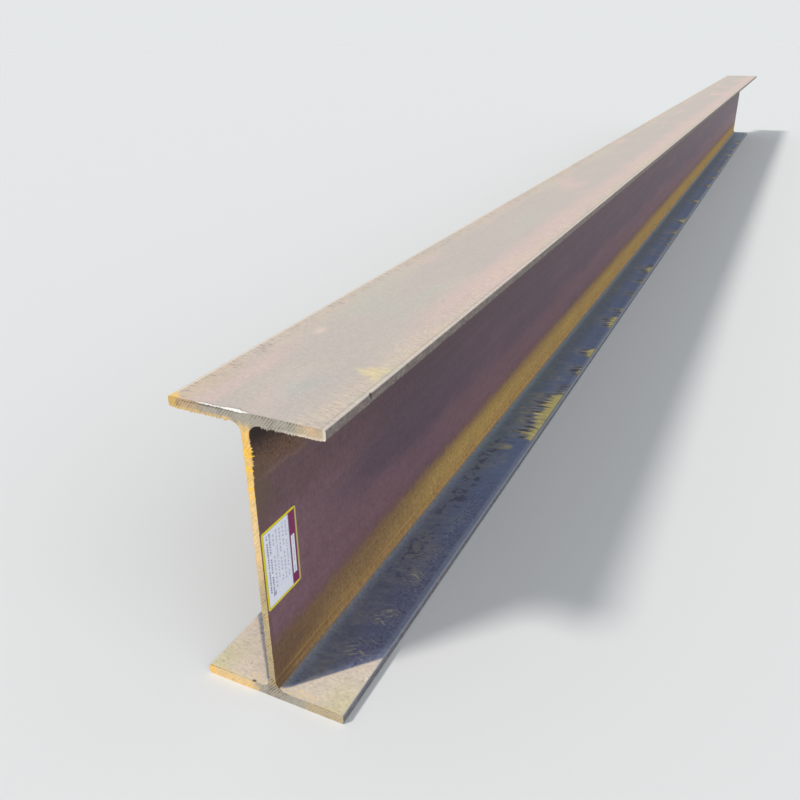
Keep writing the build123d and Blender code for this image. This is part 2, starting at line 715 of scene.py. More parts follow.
def web_scale_and_shade(f):
    """The whole body starts as web scale, partly painted shade, darker and bluer in the web's upper
    middle.
    """
    clouds = f.grain((120, 300, 80), 1, detail=3, rough=0.55)
    lines = f.grain((4, 380, 4), 2, detail=3, rough=0.6)
    hair = f.grain((1.2, 50, 1.2), 3, detail=2)
    mottle = f.grain((9, 15, 12), 4, detail=4, rough=0.74)
    dashes = f.grain((5, 4.2, 6), 5, detail=3, rough=0.72)
    middle = f.between(f.z, 160, 330, 70) * f.rise(f.y, 60, 330)
    violet = f.rise(0.8 * clouds + 1.1 * middle, -0.1, 1.3)
    f.skin = f.blend(violet, shaded_scale_brown, shaded_scale_violet)
    f.skin = f.blend(f.rise(f.z, 215, 275) * 0.45, f.skin, (98, 73, 77))
    tone = 0.99 - 0.1 * f.rise(f.z, 150, 300) + 0.08 * f.between(f.z, 84, 122, 26)
    tone = tone - 0.06 * middle * f.fall(f.y, 400, 700)
    tone = tone + 0.07 * clouds + 0.05 * lines + 0.04 * hair
    f.skin = f.shade(f.skin, tone + 0.18 * mottle + 0.26 * dashes)
    haze = f.specks((40, 90, 26), 10, 0.1, 0.9, detail=3, swirl=0.6) * f.fall(f.z, 120, 260)
    f.coat(haze * 0.3, scale_rose)
    specks = f.specks((4, 7, 6), 6, 0.66, 0.9)
    f.coat(specks * 0.5, scale_dark)
    f.relief = 0.03 * mottle + 0.012 * hair + 0.015 * lines
    f.rough = 0.5 + 0.08 * mottle - 0.04 * lines


def cut_stains_and_shade(f):
    """Heat and water at the near cut: a gritty brown corner under the flange and an olive edge.

    The corner darkens towards the top flange as painted shade, with a painted shadow right
    under the flange.
    """
    grit = f.grain((3.6, 4.4, 3.6), 7, detail=3, rough=0.72)
    drift = f.grain((26, 34, 20), 8, detail=3)
    corner = f.fall(f.y + 30 * drift + 12 * grit, 70, 200)
    corner = corner * f.rise(f.z - 8 * drift + 7 * grit, 300, 328)
    corner = corner * f.rise(f.side, web_face - 0.5, web_face - 0.1)
    corner = corner * f.fall(f.z, section_depth - 4, section_depth - 2)
    # Darker towards the top flange: painted shade under it.
    skin = f.shade(grit_brown, 0.95 + 0.5 * grit - 0.62 * f.rise(f.z, 322, 372))
    f.coat(corner * 0.88, skin, rough=0.7, relief=0.06 * grit)
    f.coat(corner * f.rise(grit, 0.45, 0.85) * 0.55, grit_pale)
    pits = f.specks((3.2, 3.8, 3.2), 9, 0.22, 0.55, detail=3)
    f.coat(corner * pits * 0.7, (44, 33, 29), relief=-0.08)
    line = f.hump(f.z - 5 * drift + 2 * grit, 313, 5) * f.fall(f.y + 20 * drift, 70, 190)
    f.coat(line * (0.25 + 0.25 * grit), (150, 124, 112))
    # A painted shadow right under the top flange, near the cut.
    shade_under_flange = f.fall(f.y + 12 * drift, 20, 90) * f.rise(f.z + 4 * grit, 346, 372)
    f.coat(shade_under_flange * 0.8, (46, 32, 29))
    edge = f.fall(f.y + 15 * drift, 8, 46) * f.between(f.z + 12 * drift, 262, 330, 30)
    f.coat(edge * 0.75, f.shade(scale_olive, 0.95 + 0.2 * grit))
    f.coat(f.fall(f.y + 3 * drift, 1.5, 9) * f.fall(f.z, 118, 140) * 0.45, (78, 60, 52))


# %% [markdown]
# ## Rust along the lower root
#
# Water runs down the web and stands in the root, so a band of rust lies there for the whole
# length. It is brown near the cut and ochre further on. Its top edge is feathered upwards,
# its lower edge is sharp, halfway round the radius, and two brighter lines follow just above.

# %% Lay the rust of the lower root
rust_dark = (112, 88, 66)
rust_brown = (150, 120, 80)
rust_ochre = (194, 158, 92)
rust_orange = (190, 147, 88)
rust_deep = (108, 76, 48)


def root_rust(f):
    """The band of rust, dark at the cut and ochre further on, and the rolled lines in it."""
    feather = f.grain((4, 6, 24), 11, detail=4, rough=0.66, swirl=0.4)
    drift = f.grain((60, 130, 60), 12, detail=3)
    strata = f.grain((2.2, 120, 2.2), 13, detail=3, rough=0.6)
    crumbs = f.grain((4.5, 5.5, 5.5), 14, detail=4, rough=0.78)
    edge = f.z + 14 * feather + 5 * drift + 2 * strata + 5 * crumbs
    on_web = f.fall(f.z, 120, 140)
    band = f.fall(edge, 67, 98) * f.rise(f.z, 8, 12)
    rust = f.blend(f.rise(f.y + 30 * drift, 0, 150), rust_dark, rust_brown)
    rust = f.blend(f.rise(f.y + 70 * drift, 160, 620), rust, rust_ochre)
    rust = f.blend(f.rise(f.z + 8 * feather, 44, 76) * 0.3, rust, rust_deep)
    rust = f.blend(f.fall(f.z + 4 * feather, 22, 54) * (0.55 + 0.3 * strata), rust, rust_orange)
    rust = f.shade(rust, 1.0 + 0.58 * crumbs + 0.2 * strata + 0.24 * feather)
    relief = 0.06 * crumbs + 0.02 * strata
    f.coat(band * (0.93 + 0.1 * drift), rust, rough=0.85, metal=0.0, relief=relief)
    cut_end = f.fall(f.y + 20 * drift, 20, 210) * f.fall(f.z + 6 * feather, 50, 90)
    f.coat(cut_end * 0.52, f.shade((112, 84, 64), 1.0 + 0.2 * crumbs + 0.1 * strata))
    rim = f.hump(edge, 88, 20) * on_web * f.rise(f.z, 50, 70)
    f.coat(rim * 0.18, rust_deep)
    upper_line = f.hump(f.z + 0.8 * strata, 29, 3.2) * on_web
    f.coat(upper_line * 0.35, f.shade(rust_ochre, 1.06))
    groove = f.hump(f.z + 0.8 * strata, 25, 2.4) * on_web
    f.coat(groove * (0.25 + 0.2 * strata), rust_deep)
    lower_line = f.hump(f.z + 1.0 * strata, 20.5, 2.2)
    f.coat(lower_line * 0.45, f.shade((172, 134, 90), 0.95 + 0.2 * crumbs))
    f.coat(f.fall(f.z + 0.6 * strata, 17.6, 19.4) * 0.45, (112, 98, 82))
    foot = f.fall(f.y + 14 * drift, 4, 60) * f.fall(f.z + 3 * feather, 28, 52)
    f.coat(foot * 0.55, f.shade((88, 68, 54), 1.0 + 0.3 * crumbs))
    flecks = f.specks((3.6, 4.0, 5.0), 15, 0.6, 0.9)
    f.coat(band * flecks * 0.45, rust_deep, relief=-0.04)


def web_surface():
    """The web's finish, from its scale to the rust of its foot."""
    f = Finish("web_surface", shaded_scale_brown, 0.5, 0.05)
    web_scale_and_shade(f)
    cut_stains_and_shade(f)
    root_rust(f)
    return f.done()


rolled_beam.data.materials.append(web_surface())

# %% [markdown]
# ## Slate on the lower flange
#
# The flange's scale is blue grey, with brushed olive strokes near the root and dark blots where
# it stayed whole. The blue grey is partly painted shade: the right half is painted darker and
# bluer, as it lay in shade, and the left half paler. Along the toe it is rubbed to a pale stripe.
# The strokes are one noise, drawn out and turned aslant, because slings and water ran across the
# flange and not along it.

# %% Lay the lower flange's slate
# The blue of these slates is partly painted shade; the scale's own colour is paler.
slate_near = (104, 109, 134)
slate_far = (108, 123, 155)
slate_pale = (152, 148, 146)
slate_olive = (115, 121, 136)
slate_teal = (108, 125, 133)


def flange_slate(f):
    """The slate of the lower flange's upper face. It returns the grains that its wear follows."""
    clouds = f.grain((70, 150, 70), 21, detail=3)
    strokes = f.grain((40, 15, 40), 22, detail=4, rough=0.68, swirl=0.9, place=f.turned(-12))
    fine = f.grain((5, 3.4, 5), 23, detail=3, rough=0.7)
    hair = f.grain((2.0, 60, 2.0), 24, detail=2)
    patchy = f.grain((13, 9, 13), 63, detail=4, rough=0.76)
    blots = f.grain((19, 24, 19), 65, detail=3, rough=0.6, swirl=0.6)
    crust = f.grain((5, 6, 5), 66, detail=4, rough=0.78)
    beside_root = f.fall(f.side + 8 * patchy, 15, 28)
    skin = f.blend(f.rise(f.y + 60 * clouds, 180, 720), slate_near, slate_far)
    # The left half is painted paler; the right half keeps the darker blue grey, painted shade.
    skin = f.blend(f.fall(f.x, -12, -4) * 0.7, skin, slate_pale)
    brushed = f.fall(f.side + 14 * strokes, 34, 64) * (0.25 + 0.65 * f.rise(strokes, -0.25, 0.4))
    skin = f.blend(brushed, skin, slate_olive)
    teal = f.rise(f.y + 60 * clouds, 560, 700) * f.fall(f.side + 8 * strokes, 30, 62)
    skin = f.blend(teal * (0.45 + 0.25 * clouds + 0.4 * patchy), skin, slate_teal)
    olive = f.rise(clouds + 0.8 * strokes + 0.4 * f.fall(f.y, 300, 420), 0.1, 0.9)
    skin = f.blend(olive * f.between(f.side, 24, 78, 24) * 0.4, skin, (132, 132, 118))
    stripe = f.fall(f.side + 7 * strokes + 4 * fine, 11, 20)
    stripe = stripe * (0.38 + 0.2 * clouds + 0.3 * strokes + 0.35 * patchy)
    skin = f.blend(stripe, skin, (119, 124, 122))
    outer = 1.0 + 0.08 * f.rise(f.side, 48, 72) + 0.05 * f.between(f.side, 46, 72, 14)
    skin = f.shade(skin, outer)
    uneven = 0.05 * clouds + 0.13 * strokes + 0.12 * patchy + 0.2 * fine + 0.06 * hair
    skin = f.shade(skin, 1.0 + uneven)
    crusted = beside_root * crust
    skin = f.shade(skin, 1.0 + 0.32 * crusted)
    f.coat(1, skin, rough=0.58 + 0.05 * strokes, relief=0.04 * fine + 0.04 * crusted)
    f.coat(beside_root * f.rise(crust - 0.4 * patchy, 0.0, 0.6) * 0.35, (126, 132, 108))
    gloom = f.rise(blots - 0.4 * strokes, 0.04, 0.38)
    gloom = gloom * f.between(f.side + 8 * strokes, 22, 56, 16)
    middle = f.between(f.y, 265, 740, 65)
    f.coat(gloom * (0.22 + 0.56 * middle), (76, 80, 104))
    rubbed = f.rise(strokes, 0.35, 0.9) * f.between(f.side, 20, 70, 24) * f.rise(f.y, 240, 360)
    f.coat(rubbed * 0.3, (148, 146, 136))
    return strokes, fine, patchy, blots, crust


def flange_wear(f, strokes, fine, patchy, blots, crust):
    """What lies on the slate: the root rust's sharp edge, dark specks, glints, a pale stripe."""
    rust_edge = f.fall(f.side + 0.9 * fine + 0.5 * strokes, 8.9, 9.8)
    f.coat(rust_edge * 0.7, f.shade(rust_brown, 0.95 + 0.25 * fine), rough=0.8)
    creeping = f.fall(f.side + 2.5 * strokes, 9.5, 15) * f.rise(fine + 0.4 * crust, -0.3, 0.5)
    f.coat(creeping * 0.42, rust_brown)
    worn = f.between(f.side + 10 * patchy, 62, 92, 10) * f.fall(f.y, 480, 640)
    mosaic = f.grain((4.0, 5.5, 4.0), 68, detail=3, rough=0.78)
    f.skin = f.shade(f.skin, 1.0 + 0.4 * f.region * worn * mosaic)
    f.coat(worn * f.rise(patchy - mosaic, -0.2, 0.8) * 0.35, (98, 100, 140))
    specks = f.rise(f.grain((3.4, 4.2, 3.4), 25, detail=2) + 0.4 * patchy, 0.2, 0.6)
    f.coat(worn * specks * 0.6, (62, 62, 84), relief=-0.04)
    sparkle = f.grain((5, 3.0, 5), 26, detail=2, place=f.turned(-20))
    glints = f.rise(sparkle + 0.5 * blots, 0.25, 0.75)
    f.coat(worn * glints * 0.5, (152, 158, 170))
    rooted = f.fall(f.side, 30, 70) * f.rise(f.y, 560, 700)
    pocks = f.specks((5.0, 6.5, 5.0), 36, 0.48, 0.66, detail=3)
    f.coat(rooted * pocks * 0.8, (56, 54, 62))
    rolled = f.grain((1.1, 70, 1.1), 59, detail=3, rough=0.6)
    pale_strip = f.rise(f.side + 1.5 * strokes, toe - 12, toe - 6)
    pale_strip = pale_strip * (0.6 + 0.35 * rolled + 0.2 * fine)
    pale_strip = pale_strip * (0.55 + 0.45 * f.rise(f.y, 100, 420))
    f.coat(pale_strip, (150, 158, 174), rough=0.5)
    sparks = f.hump(f.side, toe - 4.5, 4.5) * f.rise(fine + 0.5 * rolled, 0.35, 0.8)
    f.coat(sparks * 0.6, (186, 188, 190))


# %% [markdown]
# ## Yellow rust, scratches, dust and painted sunlight on the lower flange
#
# The flange's edge stays wet the longest. So flames of yellow rust lick in from the toe, with
# dark bays between them: one noise is drawn out across the flange, and the distance from the
# toe is compared with it. Slings left bundles of fine crossing scratches. The corner at the cut
# is painted pale as a pool of sunlight, a wedge whose slanted edge is a painted shadow edge,
# with sand and gold dust in it.

# %% Lay the yellow rust, the scratches, the dust and the painted sunlit corner
slate_dark = (82, 86, 114)
flame_yellow = (218, 206, 138)
flame_olive = (160, 154, 120)
# Painted sunlight on the near corner, in the tints of its dust.
sunlit_dust_sand = (226, 210, 190)
sunlit_dust_rose = (228, 202, 190)
sunlit_dust_gold = (232, 200, 130)


def sunlit_dusty_corner(f, strokes, fine):
    """A painted pool of sunlight on the flange's near corner, a wedge on both halves, with dust in
    it.
    """
    # The wedge is painted sunlight, and its slanted edge is a painted shadow edge.
    sunlit_wedge = f.fall(f.y - 1.15 * (f.side - 6) + 2 * strokes + 1.5 * fine, -4, 2)
    scuff = f.grain((12, 3.2, 12), 37, detail=3, rough=0.7, place=f.turned(14))
    sand = f.blend(f.rise(strokes, 0.0, 0.7) * 0.7, sunlit_dust_sand, sunlit_dust_rose)
    near_edge = f.rise(fine + 0.6 * strokes - 0.035 * f.y, -0.4, 0.5)
    sand = f.blend(near_edge * 0.8, sand, sunlit_dust_gold)
    veil = f.rise(f.side + 14 * strokes, 52, 88) * f.fall(f.y + 10 * strokes, 20, 70)
    sand = f.blend(veil * 0.6, sand, (212, 204, 152))
    sand = f.shade(sand, 1.0 + 0.2 * fine + 0.12 * strokes + 0.14 * scuff)
    f.coat(sunlit_wedge * 0.88, sand, relief=0.05 * fine + 0.03 * scuff)
    crumbs = f.specks((4.4, 4.0, 4.4), 38, 0.58, 0.8)
    f.coat(sunlit_wedge * crumbs * 0.7, (112, 98, 88), relief=-0.05)
    crack = f.fall(f.y + 0.5 * fine, 0.8, 1.8) * f.rise(fine + strokes, -0.5, 0.5)
    gouge = f.hump(f.x, -30, 5) * f.fall(f.y, 2, 5)
    f.coat(0.7 * crack + gouge, (58, 46, 40), relief=-0.1)
    f.coat(sunlit_wedge * f.rise(scuff, 0.5, 0.9) * 0.4, (228, 218, 204))


def flange_flames(f):
    """Yellow rust from the toe inwards, whose edge is drawn out in crosswise strands."""
    aslant = f.turned(-9)
    tongues = f.grain((160, 17, 160), 27, detail=2, place=aslant)
    strands = f.grain((60, 3.2, 60), 28, detail=4, rough=0.72, swirl=0.3, place=aslant)
    wisps = f.grain((24, 1.9, 24), 29, detail=2, place=aslant)
    patches = f.grain((900, 110, 900), 30, detail=1)
    sheltered = f.rise(f.y, 900, 1000)
    patched = patches + 1.4 * (1 - sheltered) + 0.12 * strands
    present = f.rise(f.y + 3 * strands, 752, 766) * f.rise(patched, -0.05, 0.12)
    spikes = f.grain((200, 8, 200), 60, detail=2, place=aslant)
    fade = present * f.rise(patched, -0.1, 0.8)
    widening = 17 + 7 * f.rise(f.y, 800, 900)
    reach = fade * (widening + 9 * tongues + 17 * spikes + 12 * strands + 7 * wisps)
    into = f.side - (toe - 4 - reach)
    bare = f.between(f.side, 20, 96, 4) * present
    veil = f.rise(into + 18 * wisps, -48, -4) * f.rise(strands + 0.5 * wisps, -0.3, 0.4) * bare
    f.coat(veil * 0.92, f.shade(flame_olive, 1.08 + 0.28 * wisps), rough=0.7)
    burnt = f.hump(into + 4 * wisps, -3, 9) * f.rise(strands + wisps, 0.1, 0.9) * bare
    f.coat(burnt * 0.35, (90, 88, 92), relief=-0.02)
    flame = f.rise(into, -2.5, 3.5) * bare
    mottle = f.grain((7, 5, 7), 61, detail=3, rough=0.7)
    yellow = f.blend(f.rise(mottle + strands, -0.2, 0.9) * 0.5, flame_yellow, (224, 196, 110))
    yellow = f.shade(yellow, 1.08 + 0.28 * wisps + 0.2 * strands + 0.22 * mottle)
    f.coat(flame * 0.95, yellow, rough=0.82, relief=0.05 * wisps)
    bays = f.grain((46, 8, 46), 31, detail=2, place=aslant) + 0.3 * strands
    at_border = f.between(into + 4 * wisps, -17, 10, 10) * bare
    f.coat(f.rise(bays, 0.04, 0.22) * at_border * 0.92, (82, 78, 97))
    soot = f.rise(mottle - 0.3 * strands, 0.6, 0.85) * f.rise(into, -20, 0) * bare
    f.coat(soot * 0.75, (66, 62, 60), relief=-0.03)
    f.coat(f.hump(f.side, toe - 4.2, 1.6) * present * 0.5, slate_dark)
    rust_leaf(f, strands, wisps)


def rust_leaf(f, strands, wisps):
    """One leaf of the yellow rust that lies apart, nearer the cut, with a dark rim."""
    off_leaf = abs(f.y - 716 - 0.12 * (f.side - 50) + 5 * strands) + 6 * wisps
    leaf = f.fall(off_leaf + 0.5 * f.rise(f.side, 45, 80) * (f.side - 45), 9, 17)
    leaf = leaf * f.between(f.side + 8 * strands, 30, 78, 24)
    tip = f.blend(f.rise(f.side, 40, 74), flame_olive, (186, 180, 122))
    streaky = f.rise(strands + 0.7 * wisps + 0.02 * (f.side - 60), -0.7, 0.3)
    f.coat(leaf * streaky * 0.8, f.shade(tip, 1.0 + 0.22 * wisps + 0.15 * strands))
    f.coat(f.hump(off_leaf, 18, 7) * f.between(f.side, 34, 72, 20) * 0.5, slate_dark)


def flange_scratches(f):
    """Bundles of fine scratches that cross at a steep angle, pale with loose rust."""
    lean_left = f.grain((21, 1.3, 21), 32, detail=1, place=f.turned(-33))
    lean_right = f.grain((21, 1.3, 21), 33, detail=1, place=f.turned(22))
    scratch = f.rise(lean_left, 0.4, 0.62) + f.rise(lean_right, 0.46, 0.66)
    near_bundles = f.hump(f.y, 108, 32) + f.hump(f.y, 180, 32) + f.hump(f.y, 276, 26)
    later = f.specks((900, 60, 900), 34, 0.4, 0.7, detail=1) * f.rise(f.y, 330, 400)
    bundle = (near_bundles + later) * f.hump(f.side + 6 * lean_left, 66, 28)
    haze = bundle * f.rise(lean_left + lean_right, -0.2, 1.2)
    f.coat(haze * 0.35, (150, 146, 132))
    f.coat(bundle * scratch, (226, 216, 164), rough=0.7, relief=-0.02)


# %% [markdown]
# ## The toes
#
# The narrow faces along the flanges' edges take the knocks. They are brown grey, scored upright,
# and bright along the top arris, partly where the scale comes off first and partly as a painted
# highlight. The lower toe's rounded top corner carries a painted highlight too. Both flanges wear
# them, so the toes have a function of their own.

# %% Lay the toes and make the lower flange's finish
toe_brown = (122, 110, 105)
toe_slate = (115, 114, 120)


def worn_toes_with_highlights(f):
    """The narrow faces along both toes, which lie outside the region of the flange's own coats."""
    f.region = None
    scoring = f.grain((5, 7, 4.5), 49, detail=4, rough=0.78)
    blotch = f.grain((16, 26, 16), 50, detail=3)
    on_toe = f.rise(f.side, toe - 1.1, toe - 0.35)
    low = f.fall(f.z, low_flange_top + 1, low_flange_top + 3)
    skin = f.blend(low * (0.85 - 0.5 * blotch), toe_brown, toe_slate)
    high_rim = f.fall(f.z - top_flange_under + 2 * scoring, 0.5, 4)
    underside = low * f.fall(f.z, 1, 6) + (1 - low) * high_rim
    skin = f.shade(skin, 1.0 + 0.62 * scoring + 0.12 * blotch - 0.26 * underside)
    f.coat(on_toe, skin, rough=0.62, relief=0.06 * scoring)
    pale = on_toe * f.rise(scoring - 0.3 * blotch, 0.25, 0.7)
    f.coat(pale * 0.4, (170, 164, 158))
    # The top arris is partly worn bare and partly a painted highlight.
    from_top = section_depth - f.z - 0.5 * scoring
    arris = f.hump(f.side, toe - 0.8, 0.8) * f.fall(from_top, 1.0, 2.4)
    f.coat(arris * 0.45, (216, 208, 198), rough=0.4, metal=0.3)
    # A painted highlight along the lower toe's rounded top corner.
    low_arris = f.rise(f.side, toe - 1.9, toe - 1.1)
    low_arris = low_arris * f.between(f.z, low_flange_top - 2.4, low_flange_top - 0.2, 1.2)
    f.coat(low_arris * (0.5 + 0.3 * scoring), (152, 158, 168), rough=0.5)
    nick = f.hump(f.y, nick_place, 5) * f.rise(f.side, toe - 4, toe - 1.2)
    nick = nick * f.hump(f.z, section_depth - 3, 5)
    f.coat(nick * 0.9, (52, 44, 42), rough=0.8)


def lower_flange_surface():
    """The lower flange's finish, from its slate to the painted sunlight and dust on its near
    corner.
    """
    f = Finish("lower_flange_surface", toe_brown, 0.55, 0.05)
    f.region = f.rise(f.z, low_flange_top - 3, low_flange_top - 1)
    strokes, fine, patchy, blots, crust = flange_slate(f)
    flange_wear(f, strokes, fine, patchy, blots, crust)
    flange_flames(f)
    flange_scratches(f)
    sunlit_dusty_corner(f, strokes, fine)
    worn_toes_with_highlights(f)
    return f.done()


rolled_beam.data.materials.append(lower_flange_surface())

# %% [markdown]
# ## The top flange
#
# The top flange has been walked on, rained on and rubbed, so its scale is worn pale. It is
# painted paler still, as painted sunlight, to a warm grey with a satin shine. Yellow and pink dust
# is brushed across it along the right edge, and short crosswise marks run along the left one. Its
# left rim is a painted highlight and its right rim partly one. At the cut a torn lip stands up,
# painted white as a highlight, with a painted shadow behind it.

# %% Lay the top flange
# These greys are partly worn scale and partly painted sunlight, paler than the web.
sunlit_worn_grey = (194, 183, 174)
sunlit_worn_sand = (207, 189, 173)
sunlit_worn_pink = (216, 188, 180)
sunlit_worn_green = (186, 187, 174)
dust_yellow = (222, 204, 146)


def top_scale_and_sunlight(f, clouds, fine, brushed):
    """The worn scale, painted paler as sunlight, grey along the middle, sandy at the sides and pink
    or green in clouds.
    """
    drift = f.grain((90, 300, 90), 42, detail=2)
    hair = f.grain((0.9, 70, 0.9), 44, detail=2)
    sides = 0.7 * f.rise(f.side, 45, 85) + 0.4 * clouds
    skin = f.blend(sides, sunlit_worn_grey, sunlit_worn_sand)
    skin = f.blend(f.rise(drift + 0.3 * clouds, 0.1, 0.9) * 0.75, skin, sunlit_worn_pink)
    skin = f.blend(f.rise(clouds - 0.6 * drift, 0.1, 0.9) * 0.5, skin, sunlit_worn_green)
    pink_left = f.hump(f.x + 8 * clouds, -56, 26) * f.fall(f.y + 40 * drift, 110, 230)
    skin = f.blend(pink_left * 0.55, skin, sunlit_worn_pink)
    pink_right = f.hump(f.x + 8 * clouds, 62, 40) * f.rise(f.y + 60 * drift, 180, 420)
    skin = f.blend(pink_right * 0.6, skin, sunlit_worn_pink)
    blue = f.hump(f.x + 8 * clouds, 18, 34) * f.hump(f.y + 20 * clouds, 85, 56)
    skin = f.blend(blue * 0.35, skin, (176, 184, 180))
    tanned = f.fall(f.x + 8 * clouds, -84, -56) * f.fall(f.y + 30 * drift, 50, 170)
    skin = f.blend(tanned * 0.5, skin, (206, 182, 156))
    near_right = f.rise(f.x + 8 * clouds, 45, 84)
    rubbed = (0.25 + 0.75 * near_right) * brushed
    uneven = 0.03 * clouds + 0.15 * fine + 0.03 * hair + 0.26 * rubbed
    skin = f.shade(skin, 0.98 + uneven)
    relief = 0.03 * fine + 0.01 * hair + 0.02 * rubbed
    f.coat(1, skin, rough=0.56 + 0.05 * clouds + 0.05 * fine, metal=0.1, relief=relief)
    return near_right


def top_dust(f, clouds, fine, brushed, near_right):
    """Yellow and pink dust, brushed along the right edge, with one splash drawn out in threads."""
    peach = f.hump(f.y + 6 * fine, 240, 22) * f.hump(f.x + 3 * fine, -52, 13)
    f.coat(peach * 0.5, (236, 208, 190))
    speckled = near_right * f.rise(fine + 0.5 * brushed + 0.3 * clouds, 0.2, 0.9)
    f.coat(speckled * 0.6, dust_yellow, rough=0.62)
    rosy = near_right * f.rise(f.grain((5, 4, 5), 47, detail=2) + 0.4 * fine, 0.4, 0.9)
    f.coat(rosy * 0.35, (222, 180, 172))
    threads = f.grain((44, 1.9, 44), 64, detail=2, place=f.turned(10))
    narrow = f.fall(abs(f.y - 147 + 3 * brushed) - 0.42 * (f.x - 50), -1, 9)
    splash = narrow * f.rise(f.x + 12 * threads, 48, 72) * f.fall(f.x + 5 * fine, 86, 95)
    threaded = f.rise(threads + 0.3 * brushed, -0.5, 0.5)
    f.coat(splash * threaded * 0.7, (238, 218, 140), rough=0.7)


def top_edges(f, clouds, fine, brushed):
    """Crosswise marks, a painted highlight along the left rim, a gold corner, and a bright right
    rim, partly worn and partly a painted highlight.
    """
    ticks = f.grain((12, 2.6, 12), 46, detail=2)
    left_rub = f.fall(f.x + 4 * clouds, -84, -70) * f.rise(ticks + 0.5 * brushed, 0.05, 0.8)
    f.coat(left_rub * 0.7, (136, 126, 113), rough=0.6)
    # A painted highlight along the left rim.
    f.coat(f.hump(f.x + toe, 4, 2.6) * 0.7, (232, 222, 208))
    corner = f.fall(f.x + 1.3 * f.y + 3 * ticks, -86, -76)
    f.coat(corner * 0.9, (238, 196, 116), rough=0.7)
    # The right rim is partly worn bright and partly a painted highlight.
    right_rim = f.rise(f.x + 0.9 * fine, toe - 4.4, toe - 2.4)
    f.coat(right_rim * (0.35 + 0.3 * fine), (222, 215, 206), rough=0.4)
    shade_line = f.hump(f.x + 0.6 * fine, toe - 6.4, 1.8)
    f.coat(shade_line * 0.4, (146, 138, 128))


def top_grit(f, brushed, near_right):
    """Scuffs, dark grit and pale chalk, scattered as the peaks of three fine grains."""
    scuffs = f.specks((24, 3.0, 24), 48, 0.6, 0.9, place=f.turned(24))
    f.coat(scuffs * 0.4, (150, 142, 134), relief=-0.015)
    grit = f.specks((3.6, 4.2, 3.6), 39, 0.62, 0.85)
    f.coat(grit * (0.25 + 0.3 * near_right), (142, 130, 118))
    chalk = f.rise(f.grain((4.0, 3.2, 4.0), 40, detail=2) + 0.3 * brushed, 0.62, 0.9)
    f.coat(chalk * (0.2 + 0.5 * near_right), (228, 220, 212))


def torn_lip_highlight_and_shadow(f, fine):
    """The ragged lip that the saw left along the cut, painted white as a highlight, with a painted
    shadow behind it.
    """
    lip_reach = 2.2 * f.hump(f.x, -12, 20) + 1.7 * f.grain((6, 40, 6), 69, detail=2) - 0.4
    lip_run = f.between(f.x + 8 * fine, -58, 5, 12)
    # A painted shadow behind the lip.
    lip_shadow = f.hump(f.y + 0.8 * fine - lip_reach, 2.6, 1.3)
    f.coat(lip_shadow * lip_run * 0.55, (128, 118, 106), relief=-0.04)
    # The lip's white is a painted highlight.
    torn = f.fall(f.y + 0.8 * fine - lip_reach, 0.5, 1.7) * lip_run
    f.coat(torn * 0.95, (252, 249, 244), rough=0.4, relief=0.08)


def upper_flange_surface():
    """The top flange's finish, whose grains are shared by all that lies on it."""
    f = Finish("upper_flange_surface", toe_brown, 0.55, 0.05)
    clouds = f.grain((60, 170, 60), 41, detail=3)
    fine = f.grain((3.0, 3.6, 3.0), 43, detail=3, rough=0.72)
    brushed = f.grain((15, 2.6, 15), 45, detail=3, rough=0.7, place=f.turned(10))
    f.region = f.rise(f.z, section_depth - 1.6, section_depth - 0.4)
    near_right = top_scale_and_sunlight(f, clouds, fine, brushed)
    top_dust(f, clouds, fine, brushed, near_right)
    top_edges(f, clouds, fine, brushed)
    top_grit(f, brushed, near_right)
    torn_lip_highlight_and_shadow(f, fine)
    worn_toes_with_highlights(f)
    return f.done()


rolled_beam.data.materials.append(upper_flange_surface())

# %% [markdown]
# ## The sawn steel
#
# The saw bares bright steel, and a few wet days turn it gold and orange. The web's end is
# golden high up, with pools of deep gold, and cream below. The top flange's end is grey in the
# middle and warm at both corners. Each part of the cut has its own function.

# %% Lay the colours of the cut
steel_grey = (168, 160, 148)
steel_cream = (194, 174, 136)
steel_warm = (196, 164, 122)
corner_gold = (210, 174, 98)
gold = (236, 194, 116)
pale_gold = (230, 196, 142)
deep_gold = (250, 198, 62)
root_orange = (236, 184, 92)
gold_pools = ((346, 357, 4, 1), (328, 333, 3, 1), (303, 308, 3, 1), (293, 297, 3, 0.6))


def top_end(f, height, blot, wide):
    """The top flange's end: gold at its left corner, grey in the middle, cream at the right.

    The height is counted from the flange's underside.
    """
    f.coat(f.fall(f.x + 8 * wide, -78, -44) * 0.9, steel_warm)
    f.coat(f.fall(f.x + 5 * blot, -92, -84) * 0.9, corner_gold)
    bracket = f.hump(f.x + 2 * blot, -87, 2.6) * f.between(height, 2, 10, 2)
    f.coat(bracket * 0.5, (150, 122, 96))
    lower_left = f.fall(height + 2.5 * blot, 0.5, 4.5) * f.fall(f.x, -22, -12)
    f.coat(lower_left * 0.8, (222, 188, 128))
    f.coat(f.rise(f.x + 8 * wide, 60, 80), (190, 171, 143))
    warm_spot = f.hump(f.x + 3 * wide, 84, 9) * f.rise(height + 2 * blot, 1, 6)
    f.coat(warm_spot * 0.5, (222, 180, 142))
    low_rim = f.fall(height + 0.8 * blot, 1.2, 3) * f.rise(f.x, 30, 70)
    f.coat(low_rim * 0.55, (226, 212, 190))


